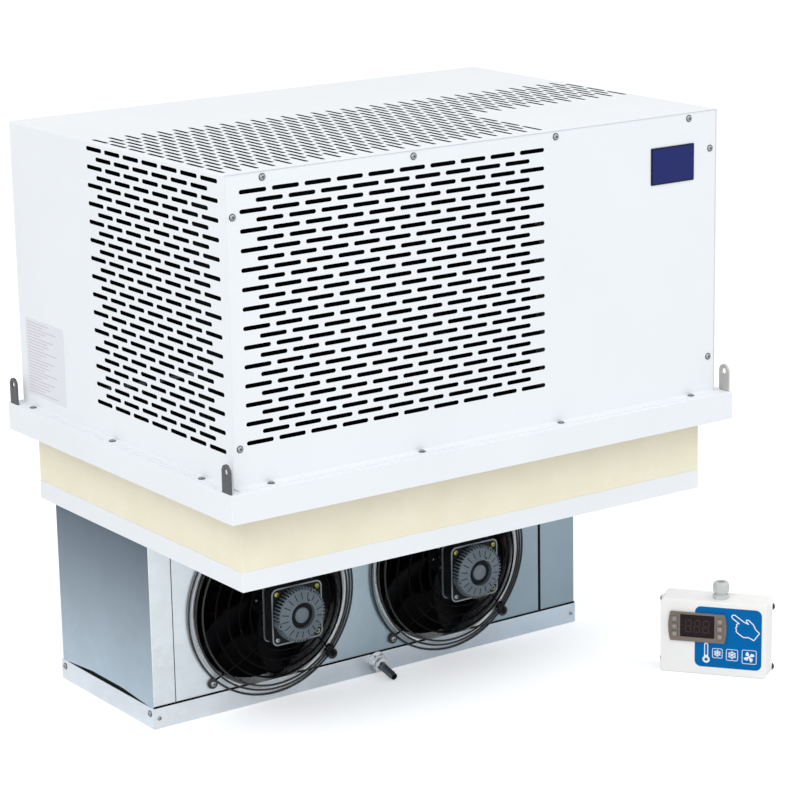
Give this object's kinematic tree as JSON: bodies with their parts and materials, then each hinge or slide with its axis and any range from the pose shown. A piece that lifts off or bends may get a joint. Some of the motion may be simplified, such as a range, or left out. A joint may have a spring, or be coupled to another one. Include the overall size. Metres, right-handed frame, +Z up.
{
  "type": "ceiling monoblock refrigeration unit",
  "caption": "Ceiling-mounted cold room refrigeration unit: slotted white housing on a base pan, insulated plug, hanging evaporator with fans, and a separate control box.",
  "frame": {"origin": "centre of the underside of the base pan, which rests on the ceiling", "axes": "+X to the right seen from the fans, +Y to the back, +Z up"},
  "size_m": [0.8913, 0.6825, 0.827],
  "materials": {
    "white_paint": "satin white powder coat",
    "zinc_sheet": "bright galvanized sheet",
    "screw_steel": "zinc plated",
    "foam": "matt cream rigid foam",
    "coil_fins": "bare fins",
    "black_wire": "black coated wire",
    "motor_steel": "dark grey laminations",
    "motor_cap_grey": "grey moulded cap",
    "fan_blades": "pressed blades",
    "compressor_black": "black enamel",
    "rubber_black": "matt rubber",
    "dark_plastic": "moulded",
    "copper": "drawn copper line",
    "box_grey": "light grey moulded housing",
    "bezel_brown": "grey-brown moulding",
    "display_dark": "smoked red window",
    "key_grey": "soft keys"
  },
  "bodies": {
    "unit": {"back_panel": "white_paint", "base_pan": "white_paint", "cable_glands": "dark_plastic", "coil_end_plates": "zinc_sheet", "compressor": "compressor_black", "compressor_grommets": "rubber_black", "condenser_coil": "coil_fins", "condenser_motor": "motor_steel", "discharge_line": "copper", "drain_nut": "screw_steel", "drain_pipe": "screw_steel", "drip_tray": "zinc_sheet", "electrical_box": "zinc_sheet", "evaporator_coil": "coil_fins", "evaporator_left_panel": "zinc_sheet", "evaporator_right_panel": "zinc_sheet", "evaporator_top_plate": "zinc_sheet", "fan_guard_left": "black_wire", "fan_guard_right": "black_wire", "fan_motor_left": "motor_steel", "fan_motor_right": "motor_steel", "fan_panel": "zinc_sheet", "fan_shroud": "zinc_sheet", "filter_drier": "copper", "foam_plug": "foam", "front_frame": "zinc_sheet", "front_panel": "white_paint", "housing_shell": "white_paint", "lip_screws": "screw_steel", "liquid_line": "copper", "motor_cap_left": "motor_cap_grey", "motor_cap_right": "motor_cap_grey", "panel_screws": "screw_steel", "plug_tray": "white_paint", "rear_frame": "zinc_sheet", "suction_line": "copper", "suspension_lugs": "zinc_sheet", "terminal_cover": "dark_plastic", "tray_screws": "screw_steel"},
    "left_fan": {"fan_rotor_left": "fan_blades"},
    "right_fan": {"fan_rotor_right": "fan_blades"},
    "condenser_fan": {"condenser_rotor": "fan_blades"},
    "control_box": {"control_box_cover": "box_grey", "control_box_base": "box_grey", "control_box_screws": "screw_steel", "controller_bezel": "bezel_brown", "controller_display": "display_dark", "control_gland_body": "dark_plastic", "control_gland_nut": "dark_plastic"},
    "control_key_1_body": {"control_key_1": "key_grey"},
    "control_key_2_body": {"control_key_2": "key_grey"},
    "control_key_3_body": {"control_key_3": "key_grey"},
    "control_key_4_body": {"control_key_4": "key_grey"},
    "control_key_5_body": {"control_key_5": "key_grey"},
    "control_key_6_body": {"control_key_6": "key_grey"}
  },
  "joints": [
    {"name": "left_fan_spin", "type": "hinge", "parent": "unit", "child": "left_fan", "pos_m": [-0.1765, 0, -0.2315], "axis": [0, 1, 0], "continuous": true},
    {"name": "right_fan_spin", "type": "hinge", "parent": "unit", "child": "right_fan", "pos_m": [0.1335, 0, -0.2315], "axis": [0, 1, 0], "continuous": true},
    {"name": "condenser_fan_spin", "type": "hinge", "parent": "unit", "child": "condenser_fan", "pos_m": [-0.141, -0.163, 0.216], "axis": [0, 1, 0], "continuous": true},
    {"name": "control_box_lift", "type": "slide", "parent": "unit", "child": "control_box", "axis": [0, 0, 1], "range_m": [0, 0.1]},
    {"name": "control_key_1_press", "type": "slide", "parent": "control_box", "child": "control_key_1_body", "axis": [0.788, 0.6157, 0], "range_m": [0, 0.001], "stiffness_N_per_m": 500},
    {"name": "control_key_2_press", "type": "slide", "parent": "control_box", "child": "control_key_2_body", "axis": [0.788, 0.6157, 0], "range_m": [0, 0.001], "stiffness_N_per_m": 500},
    {"name": "control_key_3_press", "type": "slide", "parent": "control_box", "child": "control_key_3_body", "axis": [0.788, 0.6157, 0], "range_m": [0, 0.001], "stiffness_N_per_m": 500},
    {"name": "control_key_4_press", "type": "slide", "parent": "control_box", "child": "control_key_4_body", "axis": [0.788, 0.6157, 0], "range_m": [0, 0.001], "stiffness_N_per_m": 500},
    {"name": "control_key_5_press", "type": "slide", "parent": "control_box", "child": "control_key_5_body", "axis": [0.788, 0.6157, 0], "range_m": [0, 0.001], "stiffness_N_per_m": 500},
    {"name": "control_key_6_press", "type": "slide", "parent": "control_box", "child": "control_key_6_body", "axis": [0.788, 0.6157, 0], "range_m": [0, 0.001], "stiffness_N_per_m": 500}
  ]
}
